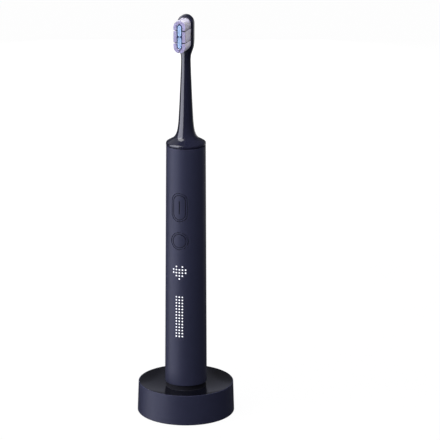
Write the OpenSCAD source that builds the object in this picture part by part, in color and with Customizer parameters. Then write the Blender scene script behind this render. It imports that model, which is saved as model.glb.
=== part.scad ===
// Electric toothbrush standing on its round inductive charger.
// Origin: bottom centre of the charger. +Z up, the front (buttons, display,
// bristles) faces -Y. Millimetres.

/* [Charger] */
// Radius of the charger wall at the bottom
base_r = 32.9; // [32:0.1:34]
// Radius of the charger wall at the rim
rim_r = 32.2; // [31.6:0.1:32.6]
// Height of the charger rim
rim_z = 21.3; // [20.8:0.1:21.5]
// Depth of the concave dish
dish_depth = 3.6; // [3:0.1:4]
// Wall thickness of the charger cover
cover_wall = 1.8; // [1.5:0.1:2]
// Radius of the pedestal the handle stands on
pedestal_r = 13.4; // [12.6:0.1:13.8]
// Radius of the centring nub on the pedestal
nub_r = 4.6; // [4.2:0.1:4.7]
// Height of the nub above the pedestal
nub_h = 3; // [2.5:0.1:3]
// Width of the plug recess in the back of the charger
plug_w = 13; // [12:0.5:14]
// Height of the plug recess
plug_h = 7; // [6:0.5:7]

/* [Handle] */
// Radius of the handle at its bottom end
grip_r_bottom = 14.2; // [14:0.1:14.4]
// Radius of the handle at its top end
grip_r_top = 13.2; // [13.1:0.1:13.4]
// Length of the handle shell
grip_len = 165.5; // [165:0.5:166]
// Wall thickness of the handle shell
grip_wall = 1.3; // [1.1:0.1:1.4]
// Radius of the recess that drops over the nub
recess_r = 5; // [4.9:0.1:5.2]
// Radius of the battery cell
cell_r = 7; // [6.8:0.1:7.1]
// Length of the battery cell
cell_len = 65; // [60:1:65]

/* [Buttons] */
// Height of the centre of the power button above the floor
power_z = 147.2; // [147:0.1:147.6]
// Width of the long power button
power_w = 10.9; // [10.7:0.1:11.4]
// Length of the power button
power_l = 19.4; // [19:0.1:19.8]
// Height of the centre of the mode button
mode_z = 123.9; // [123.6:0.1:124.2]
// Diameter of the round mode button
mode_d = 11.7; // [11.4:0.1:12]
// Gap around each button
button_gap = 0.25; // [0.2:0.05:0.3]
// Travel of each button
button_travel = 0.35; // [0.25:0.05:0.4]

/* [Display] */
// Height of the middle row of the heart cluster
heart_z = 101.9; // [101:0.1:103]
// Height of the lowest row of the column
column_z = 57.2; // [56.5:0.1:58]
// Spacing of the light points across
dot_dx = 2.1; // [2:0.05:2.15]
// Spacing of the light points along the handle
dot_dz = 2.13; // [2.1:0.01:2.15]
// Radius of one light point
dot_r = 0.52; // [0.45:0.01:0.55]

/* [Brush head] */
// Radius of the skirt
skirt_r = 13.3; // [13.2:0.05:13.4]
// Gap between handle and skirt
skirt_gap = 0.4; // [0.35:0.05:0.5]
// Half width of the bristle plate
plate_w = 5.5; // [5.3:0.1:5.7]
// Height of the tip of the plate above the floor
tip_z = 275.7; // [275.5:0.1:276]
// Length of the bristles
bristle_len = 11.5; // [10.5:0.1:12]
// Half width of the bristle field
field_w = 4.15; // [4:0.05:4.3]

/* [Motor] */
// Outer radius of the motor housing
motor_r = 7.4; // [7.2:0.1:7.4]
// Radius of the drive shaft
shaft_r = 1.6; // [1.5:0.05:1.6]
// Radial running clearance of the shaft
run_gap = 0.05; // [0.04:0.01:0.06]

/* [Hidden] */
$fn = 96;
e = 0.01;
seat_gap = 0.1;
seat_z = 21.6;                       // top of the pedestal
grip_z0 = seat_z + seat_gap;         // bottom of the handle
grip_z1 = grip_z0 + grip_len;        // top of the handle
skirt_z = grip_z1 + skirt_gap;       // bottom of the skirt
motor_z0 = 141;
motor_z1 = 180;
board_y = -8.6;                      // front face of the main board
board_t = 1;
board_w = 11.6;
board_z0 = 42;
board_z1 = 160;
cell_y = 0.6;
cell_z0 = 64;
plate_y0 = -2.1;                     // front face of the bristle plate
plate_y1 = 2.3;                      // back face of the bristle plate
field_z = 263.25;                    // middle of the bristle field
field_l = 10.85;                     // half length of the bristle field
sleeve_r = 2.5;
shaft_z1 = 204.5;
flat_x = 1.12;                       // flat on the drive shaft
plug_z = 8.83;
plug_y = 27.3;
screw_xy = [20.5, 14];

function grip_r(z) = grip_r_bottom + (grip_r_top - grip_r_bottom) * (z - grip_z0) / grip_len;

// radius of the sphere that the dish is cut from
dish_R = (31.6 * 31.6 + dish_depth * dish_depth) / (2 * dish_depth);
// height of the dish surface at radius r
function dish_z(r) = rim_z - dish_depth + dish_R - sqrt(dish_R * dish_R - r * r);

// light points, as [x, z]
heart_rows = [[-1, 1], [-2, -1, 0, 1, 2], [-2, -1, 0, 1, 2], [-1, 0, 1], [0]];
heart_dots = [for (i = [0:4]) for (k = heart_rows[i]) [k * dot_dx, heart_z + (2 - i) * dot_dz]];
column_dots = [for (i = [0:13]) for (k = [-1:1]) [k * dot_dx, column_z + i * dot_dz]];
dots = concat(heart_dots, column_dots);

navy = [0.15, 0.15, 0.21];
navy_gloss = [0.11, 0.11, 0.17];
black = [0.08, 0.08, 0.09];
copper = [0.72, 0.42, 0.25];
steel = [0.7, 0.71, 0.73];
green = [0.08, 0.3, 0.18];

// ---------- helpers ----------

// stadium prism along -Y, from y0 to y1 (y0 < y1), centred on x = 0 and z
module stadium_y(w, l, z, y0, y1) {
    translate([0, y1, z]) rotate([90, 0, 0]) linear_extrude(y1 - y0) union() {
        square([w, l - w], center = true);
        translate([0, (l - w) / 2]) circle(d = w);
        translate([0, -(l - w) / 2]) circle(d = w);
    }
}

module rod_y(r, x, z, y0, y1, n = 48) {
    translate([x, y1, z]) rotate([90, 0, 0]) cylinder(r = r, h = y1 - y0, $fn = n);
}

module tube(r_in, r_out, z0, z1) {
    rotate_extrude() translate([r_in, z0]) square([r_out - r_in, z1 - z0]);
}

// conical envelope of the handle, grown by d
module grip_cone(d, z0, z1) {
    translate([0, 0, z0]) cylinder(r1 = grip_r(z0) + d, r2 = grip_r(z1) + d, h = z1 - z0);
}

module box(x0, x1, y0, y1, z0, z1) {
    translate([x0, y0, z0]) cube([x1 - x0, y1 - y0, z1 - z0]);
}

// ---------- charger ----------

// cross-section of the cover: wall, rim, dish, pedestal and nub
module cover_profile() {
    n = 14;
    polygon(concat(
        [[31.1, 0.5], [base_r - 0.5, 0.5], [base_r - 0.15, 0.65], [base_r, 1.1]],
        [[rim_r, rim_z - 0.25], [rim_r - 0.07, rim_z - 0.07], [rim_r - 0.25, rim_z], [31.6, rim_z]],
        [for (i = [1:n]) let (r = 31.6 - (31.6 - pedestal_r) * i / n) [r, dish_z(r)]],
        [[pedestal_r, seat_z - 0.3], [pedestal_r - 0.3, seat_z]],
        [[nub_r, seat_z], [nub_r, seat_z + nub_h - 0.4], [nub_r - 0.4, seat_z + nub_h], [0, seat_z + nub_h]],
        [[0, seat_z + nub_h - 1.4], [3.2, seat_z + nub_h - 1.4], [3.2, 19.8], [pedestal_r - 1.6, 19.8]],
        [[pedestal_r - 1.6, dish_z(pedestal_r) - cover_wall]],
        [for (i = [n:-1:1]) let (r = 30.4 - (30.4 - pedestal_r) * i / n) [r, dish_z(r) - cover_wall]],
        [[30.7, dish_z(30.4) - cover_wall]]
    ));
}

module charger_cover() color(navy) difference() {
    union() {
        rotate_extrude($fn = 144) cover_profile();
        // walls of the plug recess
        intersection() {
            box(-plug_w / 2 - 1.3, plug_w / 2 + 1.3, plug_y - 1.6, 33, plug_z - plug_h / 2 - 1.3, plug_z + plug_h / 2 + 1.3);
            cylinder(r = 31.5, h = 30);
        }
        // screw bosses
        for (x = [-1, 1]) for (y = [-1, 1])
            translate([x * screw_xy[0], y * screw_xy[1], 4]) cylinder(r = 2.8, h = 14.4, $fn = 48);
    }
    box(-plug_w / 2, plug_w / 2, plug_y, 34, plug_z - plug_h / 2, plug_z + plug_h / 2);
    translate([0, plug_y - 2, plug_z]) rotate([-90, 0, 0]) linear_extrude(3) union() {
        square([5.9, 3.46], center = true);
        for (s = [-1, 1]) translate([s * 2.95, 0]) circle(d = 3.46, $fn = 48);
    }
    for (x = [-1, 1]) for (y = [-1, 1])
        translate([x * screw_xy[0], y * screw_xy[1], 3.9]) cylinder(r = 1.25, h = 8.2, $fn = 48);
}

module charger_base() color(black) difference() {
    union() {
        translate([0, 0, 1]) cylinder(r = 30.8, h = 3);
        translate([0, 0, 3.9]) cylinder(r = 7.6, h = 9.5);
        for (p = [[-10.5, -15.5], [10.5, -15.5], [-10.5, 15.5], [10.5, 15.5]])
            translate([p[0], p[1], 3.9]) cylinder(r = 1.8, h = 2.1, $fn = 48);
    }
    translate([0, 0, 5.5]) cylinder(r = 6.3, h = 9);
    for (x = [-1, 1]) for (y = [-1, 1]) translate([x * screw_xy[0], y * screw_xy[1], 0]) {
        cylinder(r = 1.4, h = 6, $fn = 48);
        cylinder(r = 2.6, h = 2.5, $fn = 48);
    }
}

module charger_foot() color([0.2, 0.2, 0.22]) tube(27.8, 30.4, 0, 1);

module charger_screws() color(steel)
    for (x = [-1, 1]) for (y = [-1, 1]) translate([x * screw_xy[0], y * screw_xy[1], 0]) difference() {
        union() {
            translate([0, 0, 1.1]) cylinder(r = 2.3, h = 1.4, $fn = 48);
            translate([0, 0, 2.4]) cylinder(r = 1.25, h = 9.4, $fn = 48);
        }
        translate([0, 0, 1.05]) cube([2.6, 0.6, 1.4], center = true);
        translate([0, 0, 1.05]) cube([0.6, 2.6, 1.4], center = true);
    }

module charger_board() color(green) difference() {
    box(-13, 13, -18, 25.2, 6, 7.2);
    translate([0, 0, 5]) cylinder(r = 8.2, h = 4);
}

module charger_components() color(black) {
    box(-4, 4, -15.5, -11, 7.2, 8.4);
    for (x = [-10.5, 10.5]) translate([x, -9, 7.2]) cylinder(r = 2.2, h = 5, $fn = 48);
    for (x = [-10.8, 8.8]) box(x, x + 2, 2, 5.2, 7.2, 8.2);
    box(-9.5, -5.5, 13, 17, 7.2, 9.4);
    box(5.5, 9.5, 13, 17, 7.2, 8.6);
}

module charger_coil() color(copper) tube(3.5, 7.5, 15.3, 19.5);

module charger_core() color([0.25, 0.24, 0.25]) {
    translate([0, 0, 13.4]) cylinder(r = 7.5, h = 1.8);
    translate([0, 0, 13.4]) cylinder(r = 2.9, h = 9.4, $fn = 48);
}

module usb_outline(w, h) {
    square([w - h, h], center = true);
    for (s = [-1, 1]) translate([s * (w - h) / 2, 0]) circle(d = h, $fn = 48);
}

module usb_socket_shell() color(steel) translate([0, 20.4, plug_z]) rotate([-90, 0, 0]) difference() {
    linear_extrude(7.3) usb_outline(8.94, 3.26);
    translate([0, 0, 0.6]) linear_extrude(8) usb_outline(8.34, 2.66);
}

module usb_socket_tongue() color([0.1, 0.1, 0.1]) {
    translate([0, 21, plug_z]) rotate([-90, 0, 0]) linear_extrude(1) usb_outline(8.3, 2.62);
    box(-3.3, 3.3, 21.9, 27.2, plug_z - 0.35, plug_z + 0.35);
}

// ---------- handle ----------

module grip_profile() {
    polygon([
        [grip_r_bottom - 0.45, grip_z0], [grip_r_bottom - 0.13, grip_z0 + 0.13], [grip_r(grip_z0 + 0.45), grip_z0 + 0.45],
        [grip_r(grip_z1 - 0.35), grip_z1 - 0.35], [grip_r_top - 0.1, grip_z1 - 0.1], [grip_r_top - 0.35, grip_z1],
        [grip_r_top - grip_wall, grip_z1], [grip_r_bottom - grip_wall, grip_z0]
    ]);
}

module handle_shell() color(navy) difference() {
    rotate_extrude($fn = 144) grip_profile();
    stadium_y(power_w + 2 * button_gap, power_l + 2 * button_gap, power_z, -16, -6);
    rod_y(mode_d / 2 + button_gap, 0, mode_z, -16, -6, 96);
    for (d = dots) rod_y(dot_r + 0.03, d[0], d[1], -16, -9, 24);
}

module handle_top_cap() color(black) rotate_extrude() difference() {
    translate([4, 183.3]) square([7.8, 3.7]);
    translate([10.6, 184.6]) square([2, 1.1]);
}

module shaft_seal() color([0.12, 0.12, 0.12]) rotate_extrude() polygon([
    [shaft_r + run_gap, 184], [4, 184], [4, 187], [3.1, 187.1], [2.9, 188.2], [2.3, 189], [shaft_r + run_gap, 189]
]);

module top_o_ring() color([0.12, 0.12, 0.12]) rotate_extrude() translate([11.2, 185.15]) circle(r = 0.5, $fn = 32);

module chassis() color([0.16, 0.16, 0.17]) difference() {
    union() {
        // cradle behind the cell
        intersection() {
            translate([0, cell_y, 44]) difference() {
                cylinder(r = 8.7, h = 95);
                translate([0, 0, -1]) cylinder(r = cell_r + 0.15, h = 97);
            }
            box(-12, 12, cell_y + 0.5, 14, 40, 190);
        }
        // cradle behind the motor
        intersection() {
            translate([0, 0, 138.9]) difference() {
                cylinder(r = 9, h = 43);
                translate([0, 0, -1]) cylinder(r = motor_r + 0.1, h = 45);
            }
            box(-12, 12, 0.5, 14, 130, 190);
        }
        // cross walls
        for (z = [44, 60.4, 130.2, 136.2, 181]) translate([0, 0, z])
            cylinder(r = 11.4, h = z == 44 ? 3 : (z == 136.2 ? 2.8 : (z == 181 ? 2 : 2.4)));
        // feet down to the bottom cap
        for (x = [-1, 1]) box(x * 9 - 1.2, x * 9 + 1.2, -1.5, 1.5, 28, 44.1);
    }
    box(-13, 13, -13, board_y + board_t, 40, 190);
    translate([0, 0, 180]) cylinder(r = 4.2, h = 4);
    for (z = [45.5, 137.6]) rod_y(0.8, 0, z, -9, -2.9);
}

module chassis_screws() color(steel) for (z = [45.5, 137.6]) difference() {
    union() {
        rod_y(1.35, 0, z, board_y - 0.8, board_y);
        rod_y(0.8, 0, z, board_y - 0.1, -3.1);
    }
    translate([0, board_y - 0.8, z]) cube([1.5, 0.7, 0.4], center = true);
    translate([0, board_y - 0.8, z]) cube([0.4, 0.7, 1.5], center = true);
}

module battery_cell() color([0.16, 0.35, 0.55]) {
    translate([0, cell_y, cell_z0]) cylinder(r = cell_r, h = cell_len - 0.8);
    translate([0, cell_y, cell_z0]) cylinder(r = 2.6, h = cell_len, $fn = 48);
}

module battery_tabs() color(steel) {
    box(-2, 2, cell_y - 7.7, cell_y + 2, cell_z0 - 0.25, cell_z0);
    box(-2, 2, board_y + board_t, cell_y - 7.5, cell_z0 - 0.25, cell_z0 + 3);
    box(-2, 2, cell_y - 7.7, cell_y + 2, cell_z0 + cell_len, cell_z0 + cell_len + 0.25);
    box(-2, 2, board_y + board_t, cell_y - 7.5, cell_z0 + cell_len - 3, cell_z0 + cell_len + 0.25);
}

module main_board() color(green) difference() {
    box(-board_w / 2, board_w / 2, board_y, board_y + board_t, board_z0, board_z1);
    for (z = [45.5, 137.6]) rod_y(0.85, 0, z, board_y - 1, board_y + board_t + 1);
}

module board_components() color(black) {
    box(-3, 3, board_y - 1, board_y, 109.5, 115.5);
    box(-4.6, -2.6, board_y - 0.8, board_y, 132, 134.4);
    box(2.4, 4.8, board_y - 0.9, board_y, 131.6, 135.2);
    box(-4.4, -2.2, board_y - 0.7, board_y, 49.5, 52.5);
    box(2.2, 4.4, board_y - 0.7, board_y, 49, 52);
}

module switch_body(z) difference() {
    box(-2.25, 2.25, board_y - 1.5, board_y, z - 2.25, z + 2.25);
    rod_y(1.25, 0, z, board_y - 2, board_y - 0.5);
}

module power_switch_body() color(black) switch_body(power_z);
module mode_switch_body() color(black) switch_body(mode_z);

module power_button_gasket() color([0.3, 0.3, 0.32]) difference() {
    stadium_y(8, 15, power_z, board_y - 0.9, board_y);
    stadium_y(6.4, 13.4, power_z, board_y - 2, board_y + 1);
}

module mode_button_gasket() color([0.3, 0.3, 0.32]) difference() {
    rod_y(4, 0, mode_z, board_y - 0.9, board_y);
    rod_y(3.3, 0, mode_z, board_y - 2, board_y + 1);
}

module display_leds() color([0.95, 0.95, 0.9])
    for (d = dots) box(d[0] - 0.5, d[0] + 0.5, board_y - 0.5, board_y, d[1] - 0.4, d[1] + 0.4);

module display_light_guide() color([0.95, 0.96, 1]) {
    intersection() {
        difference() {
            translate([0, 0, 54]) cylinder(r = 12.2, h = 54);
            translate([0, 0, 53]) cylinder(r = 11.2, h = 56);
        }
        box(-6.2, 6.2, -14, -9, 54, 108);
    }
    for (d = dots) rod_y(dot_r, d[0], d[1], -(sqrt(pow(grip_r(d[1]), 2) - d[0] * d[0]) - 0.03), -11.0, 24);
}

module handle_bottom_cap() color(navy) rotate_extrude() difference() {
    union() {
        translate([0, grip_z0 + 0.15]) square([12.7, 1.6]);
        translate([11.5, grip_z0 + 0.15]) square([1.2, 5.2]);
        translate([0, grip_z0 + 0.15]) square([6.1, 4.45]);
    }
    translate([0, grip_z0 - 1]) square([recess_r, 4.4]);
    translate([11.95, 24.4]) square([1, 1.1]);
}

module bottom_o_ring() color([0.12, 0.12, 0.12]) rotate_extrude() translate([12.4, 24.95]) circle(r = 0.43, $fn = 32);

module receiver_coil() color(copper) tube(6.5, 11.2, grip_z0 + 1.8, grip_z0 + 4.3);

module receiver_core() color([0.25, 0.24, 0.25]) translate([0, 0, grip_z0 + 4.7]) cylinder(r = 11.2, h = 1.2);

// ---------- motor ----------

module motor_housing() color(steel) tube(motor_r - 0.7, motor_r, motor_z0, motor_z1);

module motor_end_caps() color(black) for (z = [motor_z0, motor_z1 - 2.5])
    tube(2.6, motor_r - 0.7, z, z + 2.5);

module motor_bearings() color([0.7, 0.55, 0.3]) for (z = [motor_z0, motor_z1 - 2.5])
    tube(shaft_r + run_gap, 2.6, z, z + 2.5);

module stator_core() color(steel) {
    tube(6.2, motor_r - 0.7, 148, 173);
    for (s = [0, 180]) rotate([0, 0, s]) difference() {
        box(4.4, 6.4, -1.6, 1.6, 150, 171);
        translate([0, 0, 149]) cylinder(r = 4.6, h = 23);
    }
}

module stator_coils() color(copper) for (s = [0, 180]) rotate([0, 0, s]) difference() {
    box(4.75, 5.45, -2.8, 2.8, 148.5, 172.5);
    box(4, 6, -1.65, 1.65, 149.9, 171.1);
}

// ---------- moving pieces ----------

// skin of the handle between two depths below its surface, near the front
module skin(d_out, r_back, z0, z1) difference() {
    grip_cone(-d_out, z0, z1);
    translate([0, 0, z0 - 1]) cylinder(r = r_back, h = z1 - z0 + 2);
    box(-20, 20, -4, 20, z0 - 1, z1 + 1);
}

module power_button() color(navy) difference() {
    union() {
        intersection() {
            skin(0.02, 10.9, power_z - 12, power_z + 12);
            stadium_y(power_w, power_l, power_z, -16, -6);
        }
        intersection() {
            skin(1.7, 10.9, power_z - 13, power_z + 13);
            stadium_y(power_w + 1.6, power_l + 1.6, power_z, -16, -6);
        }
        rod_y(1.8, 0, power_z, -11.6, -10.8);
        stadium_y(5, 12, power_z, -11.6, -10.8);
    }
    // ring line between rim and face, and the engraved bar
    difference() {
        stadium_y(power_w - 2.1, power_l - 2.1, power_z, -16, -6);
        stadium_y(power_w - 2.9, power_l - 2.9, power_z, -17, -5);
        grip_cone(-0.42, power_z - 14, power_z + 14);
    }
    box(-0.3, 0.3, -16, -13, power_z - (power_l - power_w) / 2, power_z + (power_l - power_w) / 2);
}

module mode_button() color(navy) difference() {
    union() {
        intersection() {
            skin(0.02, 10.9, mode_z - 8, mode_z + 8);
            rod_y(mode_d / 2, 0, mode_z, -16, -6, 96);
        }
        intersection() {
            skin(1.7, 10.9, mode_z - 9, mode_z + 9);
            rod_y(mode_d / 2 + 0.8, 0, mode_z, -16, -6, 96);
        }
        rod_y(2.2, 0, mode_z, -11.6, -10.8);
    }
    difference() {
        rod_y(mode_d / 2 - 1.05, 0, mode_z, -16, -6, 96);
        rod_y(mode_d / 2 - 1.45, 0, mode_z, -17, -5, 96);
        grip_cone(-0.42, mode_z - 10, mode_z + 10);
    }
}

module switch_stem(z) rod_y(1.1, 0, z, -10.8, board_y - 1);

module power_switch_stem() color([0.85, 0.85, 0.85]) switch_stem(power_z);
module mode_switch_stem() color([0.85, 0.85, 0.85]) switch_stem(mode_z);

module drive_shaft() color(steel) difference() {
    union() {
        translate([0, 0, motor_z0 + 0.3]) cylinder(r = shaft_r, h = shaft_z1 - motor_z0 - 0.7, $fn = 64);
        translate([0, 0, shaft_z1 - 0.4]) cylinder(r1 = shaft_r, r2 = shaft_r - 0.35, h = 0.4, $fn = 64);
    }
    box(flat_x, 3, -3, 3, skirt_z + 1.8, shaft_z1 + 1);
}

module rotor_core() color([0.5, 0.5, 0.52]) tube(shaft_r, 3, 149, 172);

module rotor_magnets() color([0.6, 0.6, 0.63]) for (a = [0:90:270])
    rotate([0, 0, a + 5]) rotate_extrude(angle = 80) translate([3, 150]) square([1.1, 21]);

// ---------- brush head ----------

// plan outline of the plate in X and Z
module plate_outline() {
    zc = tip_z - plate_w;
    union() {
        translate([0, zc]) circle(r = plate_w);
        polygon([
            [-3, 246], [3, 246], [3.5, 249.4], [4.2, 251.3], [4.9, 253.2], [5.35, 255.2], [plate_w, 257.4], [plate_w, zc],
            [-plate_w, zc], [-plate_w, 257.4], [-5.35, 255.2], [-4.9, 253.2], [-4.2, 251.3], [-3.5, 249.4]
        ]);
    }
}

module head_shell() color(navy_gloss) difference() {
    union() {
        rotate_extrude($fn = 144) polygon([
            [0, skirt_z], [skirt_r - 0.3, skirt_z], [skirt_r, skirt_z + 0.3], [skirt_r, 189.25], [skirt_r - 0.25, 189.65],
            [10, 191.15], [8.5, 192.05], [7.3, 193.45], [6.25, 195.6], [5.65, 197.8], [5.3, 200.2], [4.9, 204.5],
            [4.55, 212], [4.12, 220], [3.8, 228], [3.45, 236], [3.2, 244.5], [3.2, 249], [2.7, 251.2], [2.1, 252.4], [0, 252.4]
        ]);
        intersection() {
            translate([0, plate_y1, 0]) rotate([90, 0, 0]) linear_extrude(plate_y1 - plate_y0) plate_outline();
            // eased edges along the back
            translate([0, 0, 240]) linear_extrude(40) polygon([
                [-6, plate_y0], [6, plate_y0], [6, plate_y1 - 1.3], [plate_w - 0.15, plate_y1 - 1],
                [plate_w - 1.1, plate_y1 - 0.2], [plate_w - 2, plate_y1], [-plate_w + 2, plate_y1],
                [-plate_w + 1.1, plate_y1 - 0.2], [-plate_w + 0.15, plate_y1 - 1], [-6, plate_y1 - 1.3]
            ]);
        }
    }
    // hollow under the skirt, around the hub
    rotate_extrude() polygon([
        [0, skirt_z - 1], [12.1, skirt_z - 1], [12.1, 188.7], [9.6, 190.0], [7.6, 191.1], [6.4, 192.6], [5.4, 194.6],
        [4.2, 196.2], [4.2, skirt_z + 2], [0, skirt_z + 2]
    ]);
    translate([0, 0, skirt_z]) cylinder(r = sleeve_r, h = 206 - skirt_z, $fn = 64);
}

module shaft_sleeve() color(steel) difference() {
    translate([0, 0, skirt_z + 2.1]) cylinder(r = sleeve_r, h = 16, $fn = 64);
    intersection() {
        translate([0, 0, skirt_z]) cylinder(r = shaft_r + run_gap, h = 20, $fn = 64);
        box(-3, flat_x + 0.08, -3, 3, skirt_z, 210);
    }
}

// plan of a stadium in X and Z
module slot_2d(w, l) union() {
    square([2 * w, 2 * (l - w)], center = true);
    translate([0, l - w]) circle(r = w);
    translate([0, w - l]) circle(r = w);
}

module outer_bristles() color([0.62, 0.6, 0.74])
    translate([0, plate_y0, field_z]) rotate([90, 0, 0]) linear_extrude(bristle_len) difference() {
        slot_2d(field_w, field_l);
        slot_2d(field_w - 2.35, field_l - 2.45);
        for (s = [-1, 1]) translate([0, s * 4]) square([12, 0.46], center = true);
        for (s = [-1, 1]) translate([0, s * (field_l - 1)]) square([0.36, 6], center = true);
    }

module inner_bristles() color([0.6, 0.7, 0.92])
    translate([0, plate_y0, field_z]) rotate([90, 0, 0]) linear_extrude(bristle_len - 0.3)
        for (s = [-1, 1]) translate([0, s * 4.05]) slot_2d(1.35, 3.85);

charger_cover();
charger_base();
charger_foot();
charger_screws();
charger_board();
charger_components();
charger_coil();
charger_core();
usb_socket_shell();
usb_socket_tongue();
handle_shell();
handle_top_cap();
shaft_seal();
top_o_ring();
chassis();
chassis_screws();
battery_cell();
battery_tabs();
main_board();
board_components();
power_switch_body();
mode_switch_body();
power_button_gasket();
mode_button_gasket();
display_leds();
display_light_guide();
handle_bottom_cap();
bottom_o_ring();
receiver_coil();
receiver_core();
motor_housing();
motor_end_caps();
motor_bearings();
stator_core();
stator_coils();
power_button();
power_switch_stem();
mode_button();
mode_switch_stem();
drive_shaft();
rotor_core();
rotor_magnets();
head_shell();
shaft_sleeve();
outer_bristles();
inner_bristles();
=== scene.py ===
import math
import random

import bpy
import numpy as np
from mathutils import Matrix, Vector
from mathutils.geometry import delaunay_2d_cdt


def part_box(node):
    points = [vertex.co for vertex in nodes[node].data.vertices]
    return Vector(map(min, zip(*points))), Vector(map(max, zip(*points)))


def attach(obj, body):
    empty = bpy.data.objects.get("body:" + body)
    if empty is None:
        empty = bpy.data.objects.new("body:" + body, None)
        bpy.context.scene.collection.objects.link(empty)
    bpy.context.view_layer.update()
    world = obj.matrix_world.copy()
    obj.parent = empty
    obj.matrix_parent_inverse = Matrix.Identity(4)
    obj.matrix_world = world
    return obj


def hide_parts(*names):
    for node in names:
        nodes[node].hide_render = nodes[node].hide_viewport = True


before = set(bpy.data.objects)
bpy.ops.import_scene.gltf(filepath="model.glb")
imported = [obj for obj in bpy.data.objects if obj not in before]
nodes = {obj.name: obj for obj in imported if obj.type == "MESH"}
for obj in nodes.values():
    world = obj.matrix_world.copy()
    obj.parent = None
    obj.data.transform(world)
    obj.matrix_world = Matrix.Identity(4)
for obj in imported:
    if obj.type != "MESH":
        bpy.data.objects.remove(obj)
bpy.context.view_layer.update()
MM = 0.001
rng = random.Random(7)

# ------------------------------------------------------------------ sizes (mm), as in the CAD
lo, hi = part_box("handle_shell")
GZ0, GZ1 = round(lo.z * 1000, 3), round(hi.z * 1000, 3)
GR0, GR1 = 14.2, 13.2
WALL = 1.3
POWER_Z, POWER_W, POWER_L = 147.2, 10.9, 19.4
MODE_Z, MODE_D = 123.9, 11.7
GAP = 0.25
HEART_Z, COLUMN_Z, DX, DZ = 101.9, 57.2, 2.1, 2.13
SKIRT_Z = GZ1 + 0.4
PLATE_Y0, PLATE_Y1 = -2.1, 2.3
FIELD_Z, FIELD_L, FIELD_W, BRISTLE = 263.25, 10.85, 4.15, 11.5
RIM_R, BASE_R, RIM_Z, DISH, PED = 32.2, 32.9, 21.3, 3.6, 13.4
PLUG_Z, PLUG_Y, PLUG_W, PLUG_H = 8.83, 27.3, 13.0, 7.0


def grip_r(z):
    return GR0 + (GR1 - GR0) * (z - GZ0) / (GZ1 - GZ0)


# ------------------------------------------------------------------ mesh building
class Builder:
    """Collects points (mm) and faces with a group number, and turns them into one welded mesh.
    Normals are smooth inside a group and split between groups; a group may have its own exact normals."""

    def __init__(self):
        self.v, self.f, self.g, self.exact, self.slot = [], [], [], {}, {}

    def pts(self, points):
        start = len(self.v)
        self.v.extend([tuple(p) for p in points])
        return list(range(start, len(self.v)))

    def strip(self, a, b, g, closed=True):
        n = len(a)
        for i in range(n if closed else n - 1):
            j = (i + 1) % n
            self.f.append((a[i], a[j], b[j], b[i]))
            self.g.append(g)

    def loops(self, loops, g, closed=True):
        """Quads between each loop of points and the next. g is one group, or one for each gap."""
        ids = [self.pts(p) for p in loops]
        for k in range(len(ids) - 1):
            self.strip(ids[k], ids[k + 1], g[k] if isinstance(g, (list, tuple)) else g, closed)
        return ids

    def fan(self, ring, centre, g):
        c = self.pts([centre])[0]
        for i in range(len(ring)):
            self.f.append((ring[i], ring[(i + 1) % len(ring)], c))
            self.g.append(g)

    def flat(self, outer, holes, g, lift, extra=()):
        """Triangles between an outer loop and holes, in a plane: 2D points, lifted to 3D by lift."""
        pts, edges, loops = [], [], [outer] + list(holes)
        for lp in loops:
            s = len(pts)
            pts += [Vector(p) for p in lp]
            edges += [(s + i, s + (i + 1) % len(lp)) for i in range(len(lp))]
        pts += [Vector(p) for p in extra]
        vo, _, fo, ov, _, _ = delaunay_2d_cdt(pts, edges, [], 0, 1e-6)
        ids = self.pts([lift(p) for p in vo])
        for t in fo:
            c = sum((vo[i] for i in t), Vector((0, 0))) / len(t)
            if in_loop(c, outer) and not any(in_loop(c, h) for h in holes):
                self.f.append(tuple(ids[i] for i in t))
                self.g.append(g)

    def make(self, name, weld=0.002):
        v = np.array(self.v, float)
        key = np.round(v / weld).astype(np.int64)
        _, first, inv = np.unique(key, axis=0, return_index=True, return_inverse=True)
        inv = np.asarray(inv).reshape(-1)
        vv = v[first]
        faces, groups = [], []
        for f, g in zip(self.f, self.g):
            q = []
            for i in f:
                k = int(inv[i])
                if not q or (q[-1] != k):
                    q.append(k)
            if len(q) > 1 and q[0] == q[-1]:
                q.pop()
            if len(set(q)) == len(q) and len(q) >= 3:
                faces.append(q)
                groups.append(g)
        me = bpy.data.meshes.new(name)
        me.from_pydata((vv * MM).tolist(), [], faces)
        me.update()
        ob = bpy.data.objects.new(name, me)
        bpy.context.scene.collection.objects.link(ob)
        import bmesh
        bm = bmesh.new()
        bm.from_mesh(me)
        tag = bm.faces.layers.int.new("grp")
        bm.faces.ensure_lookup_table()
        for f, g in zip(bm.faces, groups):
            f[tag] = g
            f.smooth = True
        bmesh.ops.recalc_face_normals(bm, faces=bm.faces[:])
        groups = [f[tag] for f in bm.faces]
        for f in bm.faces:
            f.material_index = self.slot.get(f[tag], 0)
        bm.to_mesh(me)
        bm.free()
        self.normals(me, groups)
        return ob

    def normals(self, me, groups):
        nv, nl = len(me.vertices), len(me.loops)
        co = np.zeros(nv * 3); me.vertices.foreach_get("co", co); co = co.reshape(-1, 3) / MM
        lv = np.zeros(nl, np.int64); me.loops.foreach_get("vertex_index", lv)
        acc, out = {}, np.zeros((nl, 3))
        for p, g in zip(me.polygons, groups):
            if g in self.exact:
                continue
            n = np.array(p.normal) * p.area
            for i in p.vertices:
                k = (i, g)
                acc[k] = acc.get(k, 0) + n
        for p, g in zip(me.polygons, groups):
            ex = self.exact.get(g)
            for li in p.loop_indices:
                i = int(lv[li])
                n = np.array(ex(co[i])) if ex else acc[(i, g)]
                n = n / (np.linalg.norm(n) + 1e-12)
                if ex and np.dot(n, np.array(p.normal)) < 0:
                    n = -n
                out[li] = n
        me.normals_split_custom_set(out.tolist())


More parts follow.
